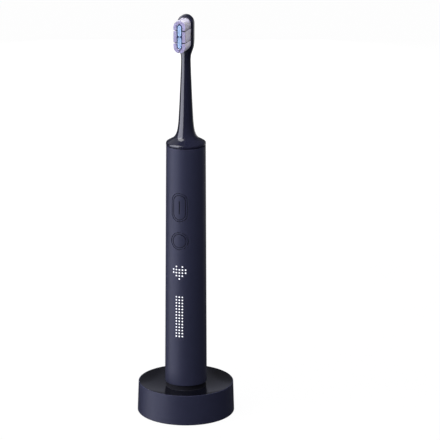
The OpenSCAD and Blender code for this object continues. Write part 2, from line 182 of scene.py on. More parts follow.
def in_loop(p, loop):
    x, y, c = p[0], p[1], False
    n = len(loop)
    j = n - 1
    for i in range(n):
        xi, yi, xj, yj = loop[i][0], loop[i][1], loop[j][0], loop[j][1]
        if (yi > y) != (yj > y) and x < (xj - xi) * (y - yi) / (yj - yi) + xi:
            c = not c
        j = i
    return c


class Outline:
    """A rounded outline in X and Z as core points and outward directions: its loop at distance rho."""

    def __init__(self, core, direction):
        self.c, self.n = np.array(core, float), np.array(direction, float)

    def at(self, rho):
        return self.c + self.n * rho

    def dist(self, p):
        return float(np.min(np.hypot(self.c[:, 0] - p[0], self.c[:, 1] - p[1])))


def pill(cx, cz, half, n=24, m=12):
    """Core segment of a stadium: half is half the length of its straight side."""
    core, d = [], []
    for k in range(n + 1):
        a = math.pi * k / n
        core.append((cx, cz + half)); d.append((math.cos(a), math.sin(a)))
    for k in range(1, m):
        core.append((cx, cz + half - 2 * half * k / m)); d.append((-1, 0))
    for k in range(n + 1):
        a = math.pi + math.pi * k / n
        core.append((cx, cz - half)); d.append((math.cos(a), math.sin(a)))
    for k in range(1, m):
        core.append((cx, cz - half + 2 * half * k / m)); d.append((1, 0))
    return Outline(core, d)


def round_outline(cx, cz, n=64):
    return Outline([(cx, cz)] * n, [(math.cos(2 * math.pi * k / n), math.sin(2 * math.pi * k / n)) for k in range(n)])


def rect_outline(cx, cz, a, b, n=8, m=6):
    """Core rectangle 2a by 2b, walked counter-clockwise."""
    core, d = [], []
    corners = [(a, b, 0), (-a, b, 90), (-a, -b, 180), (a, -b, 270)]
    for q, (x, z, start) in enumerate(corners):
        for k in range(n + 1):
            t = math.radians(start + 90 * k / n)
            core.append((cx + x, cz + z)); d.append((math.cos(t), math.sin(t)))
        x2, z2, _ = corners[(q + 1) % 4]
        t = math.radians(start + 90)
        for k in range(1, m):
            core.append((cx + x + (x2 - x) * k / m, cz + z + (z2 - z) * k / m)); d.append((math.cos(t), math.sin(t)))
    return Outline(core, d)


def arc(f, n=4):
    """Offsets (outward, down) of a rounded edge of radius f, from the surface to the wall."""
    return [(f * (1 - math.sin(math.pi / 2 * k / n)), f * (1 - math.cos(math.pi / 2 * k / n))) for k in range(n + 1)]


def dots():
    rows = [[-1, 1], [-2, -1, 0, 1, 2], [-2, -1, 0, 1, 2], [-1, 0, 1], [0]]
    out = [(k * DX, HEART_Z + (2 - i) * DZ) for i in range(5) for k in rows[i]]
    return out + [(k * DX, COLUMN_Z + i * DZ) for i in range(14) for k in (-1, 0, 1)]


# ------------------------------------------------------------------ cylindrical skin with openings
def skin(b, radius, z_lo, z_hi, na, rows, cuts, depth, g, pad=0.3, back=False):
    """Adds a skin of the given radius(z), less depth, with openings. cuts holds (outline, rho): each opening's loop.
    The skin is laid out flat as angle times a mean radius against z, and triangulated there."""
    rm = radius((z_lo + z_hi) / 2)
    front = math.pi if back else 0.0

    def to_u(x, z):
        return math.asin(max(-1, min(1, x / radius(z)))) * rm

    def lift(p):
        t, z = p[0] / rm, p[1]
        r = radius(z) - depth
        s = -1 if back else 1
        return (r * math.sin(t) , -s * r * math.cos(t), z)

    w = math.pi * rm
    pts, edges = [], []
    us = [-w + 2 * w * i / na for i in range(na + 1)]
    zs = [z_lo + (z_hi - z_lo) * j / rows for j in range(rows + 1)]

    def run(seq):
        s = len(pts)
        pts.extend(Vector(p) for p in seq)
        edges.extend((s + i, s + i + 1) for i in range(len(seq) - 1))
    run([(u, z_lo) for u in us]); run([(u, z_hi) for u in us])
    run([(-w, z) for z in zs]); run([(w, z) for z in zs])
    loops = []
    for o, rho in cuts:
        lp = [(to_u(x, z), z) for x, z in o.at(rho)]
        loops.append(lp)
        s = len(pts)
        pts.extend(Vector(p) for p in lp)
        edges.extend((s + i, s + (i + 1) % len(lp)) for i in range(len(lp)))
    boxes = [(min(p[0] for p in lp), max(p[0] for p in lp), min(p[1] for p in lp), max(p[1] for p in lp)) for lp in loops]
    for j in range(1, rows):
        for i in range(1, na):
            u, z = us[i], zs[j]
            ok = True
            for (o, rho), (x0, x1, z0, z1) in zip(cuts, boxes):
                if x0 - pad < u < x1 + pad and z0 - pad < z < z1 + pad:
                    x = radius(z) * math.sin(u / rm)
                    if o.dist((x, z)) < rho + pad:
                        ok = False
                        break
            if ok:
                pts.append(Vector((u, z)))
    vo, _, fo, _, _, _ = delaunay_2d_cdt(pts, edges, [], 0, 1e-6)
    ids = b.pts([lift(p) for p in vo])
    for t in fo:
        cx, cz = sum(vo[i][0] for i in t) / 3, sum(vo[i][1] for i in t) / 3
        if any(x0 < cx < x1 and z0 < cz < z1 and in_loop((cx, cz), lp) for lp, (x0, x1, z0, z1) in zip(loops, boxes)):
            continue
        b.f.append(tuple(ids[i] for i in t))
        b.g.append(g)


def on_skin(radius, x, z, depth, back=False):
    t = math.asin(max(-1, min(1, x / radius(z))))
    r = radius(z) - depth
    return (r * math.sin(t), (r if back else -r) * math.cos(t), z)


def ring(r, z, n):
    return [(r * math.sin(-math.pi + 2 * math.pi * i / n), -r * math.cos(-math.pi + 2 * math.pi * i / n), z) for i in range(n)]


# ------------------------------------------------------------------ materials
def new_mat(name):
    m = bpy.data.materials.new(name)
    m.use_nodes = True
    nt = m.node_tree
    for n in list(nt.nodes):
        nt.nodes.remove(n)
    out = nt.nodes.new("ShaderNodeOutputMaterial")
    bsdf = nt.nodes.new("ShaderNodeBsdfPrincipled")
    nt.links.new(bsdf.outputs[0], out.inputs[0])
    return m, nt, bsdf


def link(nt, a, b):
    nt.links.new(a, b)


def noise(nt, scale, detail=3.0, rough=0.5, stretch=(1, 1, 1), seed=0.0):
    tc = nt.nodes.new("ShaderNodeTexCoord")
    mp = nt.nodes.new("ShaderNodeMapping")
    mp.inputs["Scale"].default_value = stretch
    mp.inputs["Location"].default_value = (seed, seed * 0.7, seed * 1.3)
    n = nt.nodes.new("ShaderNodeTexNoise")
    n.inputs["Scale"].default_value = scale
    n.inputs["Detail"].default_value = detail
    n.inputs["Roughness"].default_value = rough
    link(nt, tc.outputs["Object"], mp.inputs[0])
    link(nt, mp.outputs[0], n.inputs["Vector"])
    return n.outputs["Fac"]


def remap(nt, value, a, b, c, d):
    n = nt.nodes.new("ShaderNodeMapRange")
    for k, v in zip(("From Min", "From Max", "To Min", "To Max"), (a, b, c, d)):
        n.inputs[k].default_value = v
    link(nt, value, n.inputs["Value"])
    return n.outputs[0]


def mix_colour(nt, fac, a, b):
    n = nt.nodes.new("ShaderNodeMix")
    n.data_type = "RGBA"
    link(nt, fac, n.inputs[0])
    n.inputs[6].default_value = (*a, 1) if not hasattr(a, "links") else (0, 0, 0, 1)
    n.inputs[7].default_value = (*b, 1) if not hasattr(b, "links") else (0, 0, 0, 1)
    if hasattr(a, "links"):
        link(nt, a, n.inputs[6])
    if hasattr(b, "links"):
        link(nt, b, n.inputs[7])
    return n.outputs[2]


def add_bump(nt, bsdf, layers):
    """layers: (height socket, distance in metres, strength)."""
    prev = None
    for h, dist, strength in layers:
        bp = nt.nodes.new("ShaderNodeBump")
        bp.inputs["Strength"].default_value = strength
        bp.inputs["Distance"].default_value = dist
        link(nt, h, bp.inputs["Height"])
        if prev is not None:
            link(nt, prev, bp.inputs["Normal"])
        prev = bp.outputs[0]
    link(nt, prev, bsdf.inputs["Normal"])


def srgb(r, g, b):
    return tuple((c / 255 / 12.92) if c / 255 <= 0.04045 else ((c / 255 + 0.055) / 1.055) ** 2.4 for c in (r, g, b))


def moulded(name, base, alt, rough=(0.4, 0.5), grain=0.00018, grain_depth=6e-6, strength=0.5, specular=0.5,
            coat=0.0, coat_rough=0.05, speck=0.35, stretch=(1, 1, 1), ior=1.5):
    """Moulded or coated plastic: two close tones, a fine grain, slow roughness drift and faint handling marks."""
    m, nt, p = new_mat(name)
    slow = noise(nt, 45, 3, 0.55, stretch)
    fine = noise(nt, 1 / grain, 2, 0.5, stretch, 3.1)
    marks = noise(nt, 260, 5, 0.65, (1, 1, 0.35), 9.4)
    c1 = mix_colour(nt, remap(nt, slow, 0.3, 0.7, 0, 1), base, alt)
    c2 = mix_colour(nt, remap(nt, fine, 0.35, 0.75, 0, speck), c1, tuple(min(1, c * 1.35 + 0.002) for c in alt))
    link(nt, c2, p.inputs["Base Color"])
    r1 = remap(nt, marks, 0.3, 0.7, rough[0], rough[1])
    link(nt, r1, p.inputs["Roughness"])
    p.inputs["IOR"].default_value = ior
    p.inputs["Specular IOR Level"].default_value = specular
    if coat:
        p.inputs["Coat Weight"].default_value = coat
        p.inputs["Coat Roughness"].default_value = coat_rough
    add_bump(nt, p, [(fine, grain_depth, strength), (slow, 4e-5, 0.05)])
    return m


def metal(name, colour, rough=(0.2, 0.35), stretch=(1, 1, 1), scale=4000, depth=3e-6):
    m, nt, p = new_mat(name)
    lines = noise(nt, scale, 3, 0.6, stretch, 1.7)
    slow = noise(nt, 160, 3, 0.5, (1, 1, 1), 5.0)
    link(nt, mix_colour(nt, remap(nt, slow, 0.3, 0.7, 0, 1), colour, tuple(c * 0.82 for c in colour)), p.inputs["Base Color"])
    link(nt, remap(nt, lines, 0.3, 0.7, rough[0], rough[1]), p.inputs["Roughness"])
    p.inputs["Metallic"].default_value = 1.0
    add_bump(nt, p, [(lines, depth, 0.5)])
    return m


def glow(name, colour, strength):
    """A lit diffuser, a little uneven."""
    m, nt, p = new_mat(name)
    n = noise(nt, 900, 2, 0.5)
    fine = noise(nt, 9000, 2, 0.5, seed=2.0)
    c = mix_colour(nt, remap(nt, n, 0.3, 0.7, 0, 1), colour, tuple(x * 0.93 for x in colour))
    link(nt, c, p.inputs["Base Color"])
    link(nt, c, p.inputs["Emission Color"])
    p.inputs["Emission Strength"].default_value = strength
    link(nt, remap(nt, fine, 0.3, 0.7, 0.3, 0.45), p.inputs["Roughness"])
    add_bump(nt, p, [(fine, 5e-6, 0.4)])
    return m


def filament(name, stops, y_base, y_tip):
    """Nylon filaments: a tone for each strand and a colour change along its length, with a little light inside."""
    m, nt, p = new_mat(name)
    tc = nt.nodes.new("ShaderNodeTexCoord")
    sep = nt.nodes.new("ShaderNodeSeparateXYZ")
    link(nt, tc.outputs["Object"], sep.inputs[0])
    along = remap(nt, sep.outputs["Y"], y_base * MM, y_tip * MM, 0, 1)
    ramp = nt.nodes.new("ShaderNodeValToRGB")
    els = ramp.color_ramp.elements
    els[0].position, els[0].color = stops[0][0], (*stops[0][1], 1)
    els[1].position, els[1].color = stops[-1][0], (*stops[-1][1], 1)
    for pos, c in stops[1:-1]:
        els.new(pos).color = (*c, 1)
    link(nt, along, ramp.inputs[0])
    att = nt.nodes.new("ShaderNodeAttribute")
    att.attribute_name = "strand"
    mixed = nt.nodes.new("ShaderNodeMix")
    mixed.data_type = "RGBA"
    mixed.blend_type = "MULTIPLY"
    mixed.inputs[0].default_value = 1.0
    link(nt, ramp.outputs[0], mixed.inputs[6])
    tone = nt.nodes.new("ShaderNodeMix")
    tone.data_type = "RGBA"
    link(nt, att.outputs["Fac"], tone.inputs[0])
    tone.inputs[6].default_value = (0.95, 0.95, 0.96, 1)
    tone.inputs[7].default_value = (1.03, 1.03, 1.03, 1)
    link(nt, tone.outputs[2], mixed.inputs[7])
    link(nt, mixed.outputs[2], p.inputs["Base Color"])
    fine = noise(nt, 7000, 2, 0.5, (1, 0.05, 1))
    link(nt, remap(nt, fine, 0.3, 0.7, 0.32, 0.5), p.inputs["Roughness"])
    p.inputs["Subsurface Weight"].default_value = 0.25
    p.inputs["Subsurface Radius"].default_value = (0.6, 0.6, 0.9)
    p.inputs["Subsurface Scale"].default_value = 0.0006
    add_bump(nt, p, [(fine, 4e-6, 0.3)])
    return m


NAVY = (0.0165, 0.0180, 0.0375)
NAVY2 = (0.0180, 0.0195, 0.0405)
M_GRIP = moulded("grip_soft_touch", NAVY, NAVY2, rough=(0.44, 0.52), specular=0.17)
M_BUTTON = moulded("button_soft_touch", NAVY, NAVY2, rough=(0.42, 0.5), specular=0.16, grain=0.00014)
M_PUCK = moulded("charger_satin", NAVY, NAVY2, rough=(0.42, 0.5), grain=0.0002, specular=0.15)
M_DISH = moulded("dish_polished", (0.0024, 0.0026, 0.0054), (0.0030, 0.0032, 0.0064), rough=(0.09, 0.15), grain=0.0007, grain_depth=8e-7,
                 strength=0.15, specular=0.5, speck=0.1)
# near-black painted shade for the pedestal under the handle, standing in for the shade that falls there
M_PEDESTAL_SHADE = moulded("pedestal_painted_shade", (0.004, 0.004, 0.007), (0.006, 0.006, 0.009), rough=(0.7, 0.8), grain=0.0003, grain_depth=8e-6, specular=0.15)
M_HEAD = moulded("head_gloss", (0.0075, 0.0080, 0.0190), (0.0085, 0.0090, 0.0210), rough=(0.12, 0.16), grain=0.0006, grain_depth=8e-7,
                 strength=0.15, specular=0.6, speck=0.1)
M_LAND = moulded("skirt_land", (0.0075, 0.0080, 0.0190), (0.0085, 0.0090, 0.0210), rough=(0.30, 0.38), grain=0.0005, grain_depth=3e-6, specular=0.16)
# near-black painted shade for recesses: the button openings' walls, the button caps' sides and grooves, and the gaps
# between the bristle blocks
M_GAP_SHADE = moulded("gap_painted_shade", (0.0035, 0.0038, 0.0075), (0.0045, 0.0048, 0.009), rough=(0.6, 0.7), grain=0.0003, grain_depth=4e-6, specular=0.1)
M_BLACK = moulded("black_moulding", srgb(30, 30, 34), srgb(34, 34, 39), rough=(0.42, 0.56), grain=0.0003, grain_depth=1e-5)
M_GREY = moulded("grey_moulding", srgb(84, 84, 90), srgb(92, 92, 98), rough=(0.45, 0.58), grain=0.0003, grain_depth=1e-5)
M_RUBBER = moulded("black_rubber", srgb(34, 34, 37), srgb(40, 40, 43), rough=(0.68, 0.82), grain=0.00035, grain_depth=1.5e-5, specular=0.3)
M_STEEL = metal("turned_steel", (0.56, 0.57, 0.58), (0.2, 0.34), (1, 1, 12))
M_NICKEL = metal("nickel_plate", (0.66, 0.65, 0.62), (0.16, 0.28), (6, 1, 6))
M_COPPER = metal("wound_copper", (0.72, 0.34, 0.16), (0.24, 0.42), (0.4, 0.4, 14), 900, 4e-5)
M_BRONZE = metal("sintered_bronze", (0.52, 0.36, 0.18), (0.35, 0.5), (1, 1, 1), 5000, 8e-6)
M_FERRITE = moulded("ferrite", srgb(52, 52, 55), srgb(60, 60, 62), rough=(0.5, 0.65), grain=0.0004, grain_depth=1.4e-5)
M_BOARD = moulded("solder_mask", srgb(16, 84, 52), srgb(20, 92, 58), rough=(0.24, 0.36), grain=0.0005, grain_depth=8e-6)
M_WRAP = moulded("cell_wrap", srgb(40, 92, 150), srgb(46, 100, 158), rough=(0.22, 0.34), grain=0.0012, grain_depth=1.2e-5)
M_WHITE = moulded("white_moulding", srgb(216, 216, 212), srgb(226, 226, 222), rough=(0.4, 0.5), grain=0.0003)
M_LIGHT = glow("display_light", (0.55, 0.56, 0.60), 1.2)
M_LED = glow("led_resin", (1.0, 0.97, 0.86), 0.4)
M_LILAC = filament("lilac_filament", [(0.0, srgb(196, 192, 214)), (0.2, srgb(216, 212, 232)), (0.86, srgb(216, 212, 230)), (0.95, srgb(220, 216, 234)), (0.972, srgb(140, 134, 170))], PLATE_Y0, PLATE_Y0 - BRISTLE)
M_BLUE = filament("blue_filament", [(0.0, srgb(70, 88, 146)), (0.8, srgb(104, 128, 178)), (0.96, srgb(142, 168, 206))], PLATE_Y0, PLATE_Y0 - BRISTLE)

CAD_MATS = {
    M_BLACK: ["charger_base", "usb_socket_tongue", "handle_top_cap", "handle_bottom_cap", "motor_end_caps", "charger_components",
              "board_components", "power_switch_body", "mode_switch_body"],
    M_RUBBER: ["charger_foot", "shaft_seal", "top_o_ring", "bottom_o_ring", "power_button_gasket", "mode_button_gasket"],
    M_STEEL: ["charger_screws", "chassis_screws", "motor_housing", "stator_core", "drive_shaft", "rotor_core", "shaft_sleeve"],
    M_NICKEL: ["usb_socket_shell", "battery_tabs", "rotor_magnets"],
    M_COPPER: ["charger_coil", "receiver_coil", "stator_coils"],
    M_BRONZE: ["motor_bearings"], M_FERRITE: ["charger_core", "receiver_core"],
    M_BOARD: ["charger_board", "main_board"], M_GREY: ["chassis"], M_WRAP: ["battery_cell"],
    M_WHITE: ["power_switch_stem", "mode_switch_stem"], M_LIGHT: ["display_light_guide"], M_LED: ["display_leds"],
    M_GRIP: ["handle_shell"], M_BUTTON: ["power_button", "mode_button"], M_PUCK: ["charger_cover"], M_HEAD: ["head_shell"],
    M_LILAC: ["outer_bristles"], M_BLUE: ["inner_bristles"],
}
for mat, names in CAD_MATS.items():
    for n in names:
        nodes[n].data.materials.clear()
        nodes[n].data.materials.append(mat)


def piece(ob, mat, body, slot, *replaced):
    for m in mat if isinstance(mat, tuple) else (mat,):
        ob.data.materials.append(m)
    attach(ob, body)
    if replaced:
        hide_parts(*replaced)
    return ob


# ------------------------------------------------------------------ handle shell
def handle_shell():
    b = Builder()
    na = 160
    power, mode = pill(0, POWER_Z, (POWER_L - POWER_W) / 2), round_outline(0, MODE_Z)
    ro_p, ro_m = POWER_W / 2 + GAP, MODE_D / 2 + GAP
    points = [(round_outline(x, z, 20), 0.55) for x, z in dots()]
    cuts = [(power, ro_p, 0.16), (mode, ro_m, 0.16)] + [(o, r, 0.04) for o, r in points]
    z0, z1 = GZ0 + 0.6, GZ1 - 0.45
    slope = (GR0 - GR1) / (GZ1 - GZ0)
    b.exact[1] = lambda c: (c[0], c[1], math.hypot(c[0], c[1]) * slope)
    b.exact[2] = b.exact[1]
    skin(b, grip_r, z0, z1, na, 84, [(o, r + e) for o, r, e in cuts], 0, 1)
    skin(b, grip_r, z0, z1, na, 20, [(o, r) for o, r, e in cuts], WALL, 2)
    for k, (o, r, e) in enumerate(cuts):
        prof = [(r + dx, dd) for dx, dd in arc(e, 5 if e > 0.1 else 2)] + [(r, WALL)]
        b.loops([[on_skin(grip_r, x, z, dd) for x, z in o.at(rho)] for rho, dd in prof],
                [10 + k] * (len(prof) - 2) + [200 + k])
    # ends: rounded edge, rim, inner edge
    low = [(grip_r(z0), z0)] + [(GR0 - 0.5 + 0.5 * math.cos(a), GZ0 + 0.5 - 0.5 * math.sin(a)) for a in np.linspace(0, math.pi / 2, 7)]
    low += [(GR0 - WALL + 0.1, GZ0), (GR0 - WALL, GZ0 + 0.1), (grip_r(z0) - WALL, z0)]
    top = [(grip_r(z1), z1)] + [(GR1 - 0.35 + 0.35 * math.cos(a), GZ1 - 0.35 + 0.35 * math.sin(a)) for a in np.linspace(0, math.pi / 2, 7)]
    top += [(GR1 - WALL + 0.1, GZ1), (GR1 - WALL, GZ1 - 0.1), (grip_r(z1) - WALL, z1)]
    for prof, g in ((low, 300), (top, 310)):
        b.loops([ring(r, z, na) for r, z in prof], [g] * 7 + [g + 1, g + 2, g + 3])
    # slot 1: the walls of the two button openings get the painted shade
    b.slot = {200: 1, 201: 1}
    return b.make("handle_skin")


piece(handle_shell(), (M_GRIP, M_GAP_SHADE), "handle", "navy_matte", "handle_shell")


# ------------------------------------------------------------------ buttons
def zip_across(b, loop, g, n=24, m=12):
    """Closes a pill's last loop, which starts at its top right: caps over both ends, and quads between its sides."""
    top, left = loop[:n + 1], loop[n + 1:n + m]
    low, right = loop[n + m:2 * n + m + 1], loop[2 * n + m + 1:]
    for arc_ids in (top, low):
        for i in range(n // 2):
            a, c, d, e = arc_ids[i], arc_ids[i + 1], arc_ids[n - 1 - i], arc_ids[n - i]
            b.f.append((a, c, d, e) if c != d else (a, c, e))
            b.g.append(g)
    ls, rs = [top[-1]] + left + [low[0]], [top[0]] + right[::-1] + [low[-1]]
    for i in range(len(ls) - 1):
        b.f.append((rs[i], ls[i], ls[i + 1], rs[i + 1]))
        b.g.append(g)


def key(name, outline, rho, profile, back, pole=False):
    """A button cap: its outline's loops at falling distances and depths below the grip's surface, then a flat back."""
    b = Builder()
    prof = [(rho, back)] + profile
    loops = []
    for r, d in prof:
        loops.append([on_skin(grip_r, x, z, d) for x, z in outline.at(r)])
    groups = [20] + [1] * (len(prof) - 2)
    for k in range(1, len(prof) - 1):
        if abs(prof[k][1] - prof[k + 1][1]) > 0.2:
            groups[k] = 40 + k
        elif prof[k][1] > 0.38:
            groups[k] = 2
    # slot 1: the cap's side, its steep groove walls and the deep groove floor get the painted shade
    b.slot = {g: 1 for g in groups if g != 1}
    ids = b.loops(loops, groups)
    if pole:
        c = outline.c[0]
        b.fan(ids[-1], on_skin(grip_r, c[0], c[1], prof[-1][1]), 1)
    else:
        zip_across(b, ids[-1], groups[-1])
    # back face
    bl = [on_skin(grip_r, x, z, back) for x, z in outline.at(rho)]
    rows = [bl]
    steps = [rho * k / 6 for k in range(5, 0, -1)]
    for r in steps:
        rows.append([on_skin(grip_r, x, z, back) for x, z in outline.at(r)])
    bi = b.loops(rows, 30)
    if pole:
        c = outline.c[0]
        b.fan(bi[-1], on_skin(grip_r, c[0], c[1], back), 30)
    else:
        zip_across(b, bi[-1], 30)
    return b.make(name)


def key_profile(rho, bar):
    """Offsets and depths from the rim inwards: rounded rim, ring, groove, face, and an engraved bar on the core line."""
    e = 0.3
    out = [(rho - e * (1 - math.cos(a)), 0.03 + e * (1 - math.sin(a))) for a in np.linspace(0, math.pi / 2, 6)]
    out += [(rho - 0.9, 0.04), (rho - 0.98, 0.06), (rho - 1.05, 0.13), (rho - 1.08, 0.42), (rho - 1.42, 0.44), (rho - 1.45, 0.13),
            (rho - 1.52, 0.05), (rho - 1.62, 0.025), (rho - 1.9, 0.02)]
    r = rho - 2.3
    while r > 0.8:
        out.append((r, 0.02))
        r -= 0.5
    if bar:
        out += [(0.5, 0.02), (0.38, 0.04), (0.31, 0.1), (0.28, 0.4), (0.02, 0.42)]
    else:
        out += [(0.5, 0.02), (0.2, 0.02)]
    return out


power_outline = pill(0, POWER_Z, (POWER_L - POWER_W) / 2)
mode_outline = round_outline(0, MODE_Z)
piece(key("power_key_cap", power_outline, POWER_W / 2, key_profile(POWER_W / 2, True), 2.4),
      (M_BUTTON, M_GAP_SHADE), "power_key", "button_navy", "power_button")
piece(key("mode_key_cap", mode_outline, MODE_D / 2, key_profile(MODE_D / 2, False), 2.4, pole=True),
      (M_BUTTON, M_GAP_SHADE), "mode_key", "button_navy", "mode_button")


# ------------------------------------------------------------------ charger cover
def dish_z(r):
    big = (31.6 * 31.6 + DISH * DISH) / (2 * DISH)
    return RIM_Z - DISH + big - math.sqrt(big * big - r * r)


def charger_cover():
    b = Builder()
    na = 192
    z0, z1 = 1.4, RIM_Z - 0.4

    def wall(z):
        return BASE_R + (RIM_R - BASE_R) * (z - 0.5) / (RIM_Z - 0.5)

    slope = (BASE_R - RIM_R) / (RIM_Z - 0.5)
    b.exact[1] = lambda c: (c[0], c[1], math.hypot(c[0], c[1]) * slope)
    b.exact[2] = lambda c: (c[0], c[1], 0)
    big = (31.6 * 31.6 + DISH * DISH) / (2 * DISH)
    b.exact[3] = lambda c: (-c[0] / big, -c[1] / big, math.sqrt(big * big - c[0] ** 2 - c[1] ** 2) / big)
    port = rect_outline(0, PLUG_Z, PLUG_W / 2 - 1.2, PLUG_H / 2 - 1.2)
    rr = 1.2
    skin(b, wall, z0, z1, na, 12, [(port, rr + 0.35)], 0, 1, back=True)
    inner_r = 30.9
    outer_box = rect_outline(0, PLUG_Z, PLUG_W / 2 - 1.2, PLUG_H / 2 - 1.2)
    skin(b, lambda z: inner_r, z0, z1, na, 6, [(outer_box, rr + 1.3)], 0, 2, back=True)

    def wall_pt(x, z, y=None, d=0.0):
        return (x, math.sqrt(wall(z) ** 2 - x * x) - d if y is None else y, z)

    prof = [[wall_pt(x, z, None, dd) for x, z in port.at(rr + dx)] for dx, dd in arc(0.35, 5)]
    deep = [wall_pt(x, z, PLUG_Y + 0.2) for x, z in port.at(rr)]
    deep2 = [wall_pt(x, z, PLUG_Y) for x, z in port.at(rr - 0.2)]
    b.loops(prof + [deep, deep2], [10] * 5 + [11, 12])
    # back wall of the recess, the slot for the socket, and the recess's outer sides
    slot_o = []
    for s in range(2):
        for k in range(17):
            a = (math.pi / 2 * (1 if s else -1)) + math.pi * k / 16
            slot_o.append((2.95 * (-1 if s else 1) + 1.73 * math.cos(a), PLUG_Z + 1.73 * math.sin(a)))
    b.flat([tuple(p) for p in port.at(rr - 0.2)], [slot_o], 13, lambda p: (p[0], PLUG_Y, p[1]))
    b.loops([[(x, PLUG_Y, z) for x, z in slot_o], [(x, PLUG_Y - 1.6, z) for x, z in slot_o]], 14)
    outer = [tuple(p) for p in outer_box.at(rr + 1.3)]
    b.flat(outer, [slot_o], 15, lambda p: (p[0], PLUG_Y - 1.6, p[1]))
    b.loops([[(x, PLUG_Y - 1.6, z) for x, z in outer], [(x, math.sqrt(inner_r ** 2 - x * x), z) for x, z in outer]], 16)
    # foot edge
    low = [(wall(z0), z0), (wall(1.15), 1.15)] + [(BASE_R - 0.6 + 0.6 * math.cos(a), 1.1 - 0.6 * math.sin(a)) for a in np.linspace(0.15, math.pi / 2, 8)]
    low += [(inner_r + 0.15, 0.5), (inner_r, 0.65), (inner_r, z0)]
    b.loops([ring(r, z, na) for r, z in low], [20] * 9 + [21, 22, 23])
    # rim, dish, pedestal and nub
    top = [(wall(z1), z1)] + [(RIM_R - 0.3 + 0.3 * math.cos(a), RIM_Z - 0.3 + 0.3 * math.sin(a)) for a in np.linspace(0.05, math.pi / 2, 6)]
    k_rim = len(top) - 1
    top += [(31.75, RIM_Z), (31.62, RIM_Z - 0.03)]
    k_lip = len(top) - 1
    rs = np.linspace(31.5, PED + 0.4, 22)
    dish = [(r, dish_z(r)) for r in rs]
    top += dish
    k_dish = len(top) - 1
    top += [(PED + 0.4 - 0.4 * math.sin(a), dish_z(PED + 0.4) + 0.4 - 0.4 * math.cos(a)) for a in np.linspace(0.3, math.pi / 2, 5)]
    k_foot = len(top) - 1
    top += [(PED, 21.3), (PED - 0.09, 21.51), (PED - 0.3, 21.6), (5.0, 21.6), (4.68, 21.7), (4.6, 21.95), (4.6, 24.2), (4.5, 24.45), (4.2, 24.6), (0.6, 24.6)]
    groups = []
    for k in range(len(top) - 1):
        if k < k_rim: groups.append(30)
        elif k < k_lip: groups.append(31)
        elif k < k_dish: groups.append(3 if k > k_lip else 32)
        elif k < k_foot: groups.append(33)
        else: groups.append(34 + min(6, max(0, k - k_foot)))
    # slot 2: the pedestal's foot fillet, wall and top ring (groups 33 to 37) get the near-black painted shade under the
    # handle
    b.slot = {3: 1, 32: 1, 33: 2, 34: 2, 35: 2, 36: 2, 37: 2}
    # smooth runs over the small fillets of the pedestal
    ids = b.loops([ring(r, z, na) for r, z in top], groups)
    b.fan(ids[-1], (0, 0, 24.6), groups[-1])
    # underside of the dish, closed simply
    under = [(inner_r, z1), (inner_r - 0.3, 19.0), (24.0, 17.2), (10.0, 15.8), (0.6, 15.6)]
    ui = b.loops([ring(r, z, na) for r, z in under], 60)
    b.fan(ui[-1], (0, 0, 15.6), 60)
    return b.make("charger_body")


piece(charger_cover(), (M_PUCK, M_DISH, M_PEDESTAL_SHADE), "charger", "navy_satin", "charger_cover")


# ------------------------------------------------------------------ brush head
def smooth_curve(points, n_per=10):
    """Monotone-ish Catmull-Rom through (a, b) points, returned densely."""
    p = [np.array(q, float) for q in points]
    out = []
    for i in range(len(p) - 1):
        p0 = p[i - 1] if i else 2 * p[0] - p[1]
        p1, p2 = p[i], p[i + 1]
        p3 = p[i + 2] if i + 2 < len(p) else 2 * p[-1] - p[-2]
        for k in range(n_per):
            t = k / n_per
            out.append(0.5 * ((2 * p1) + (p2 - p0) * t + (2 * p0 - 5 * p1 + 4 * p2 - p3) * t * t + (3 * p1 - p0 - 3 * p2 + p3) * t ** 3))
    out.append(p[-1])
    return out


def interp(table, z):
    zs = [t[0] for t in table]
    return [float(np.interp(z, zs, [t[k] for t in table])) for k in range(1, len(table[0]))]


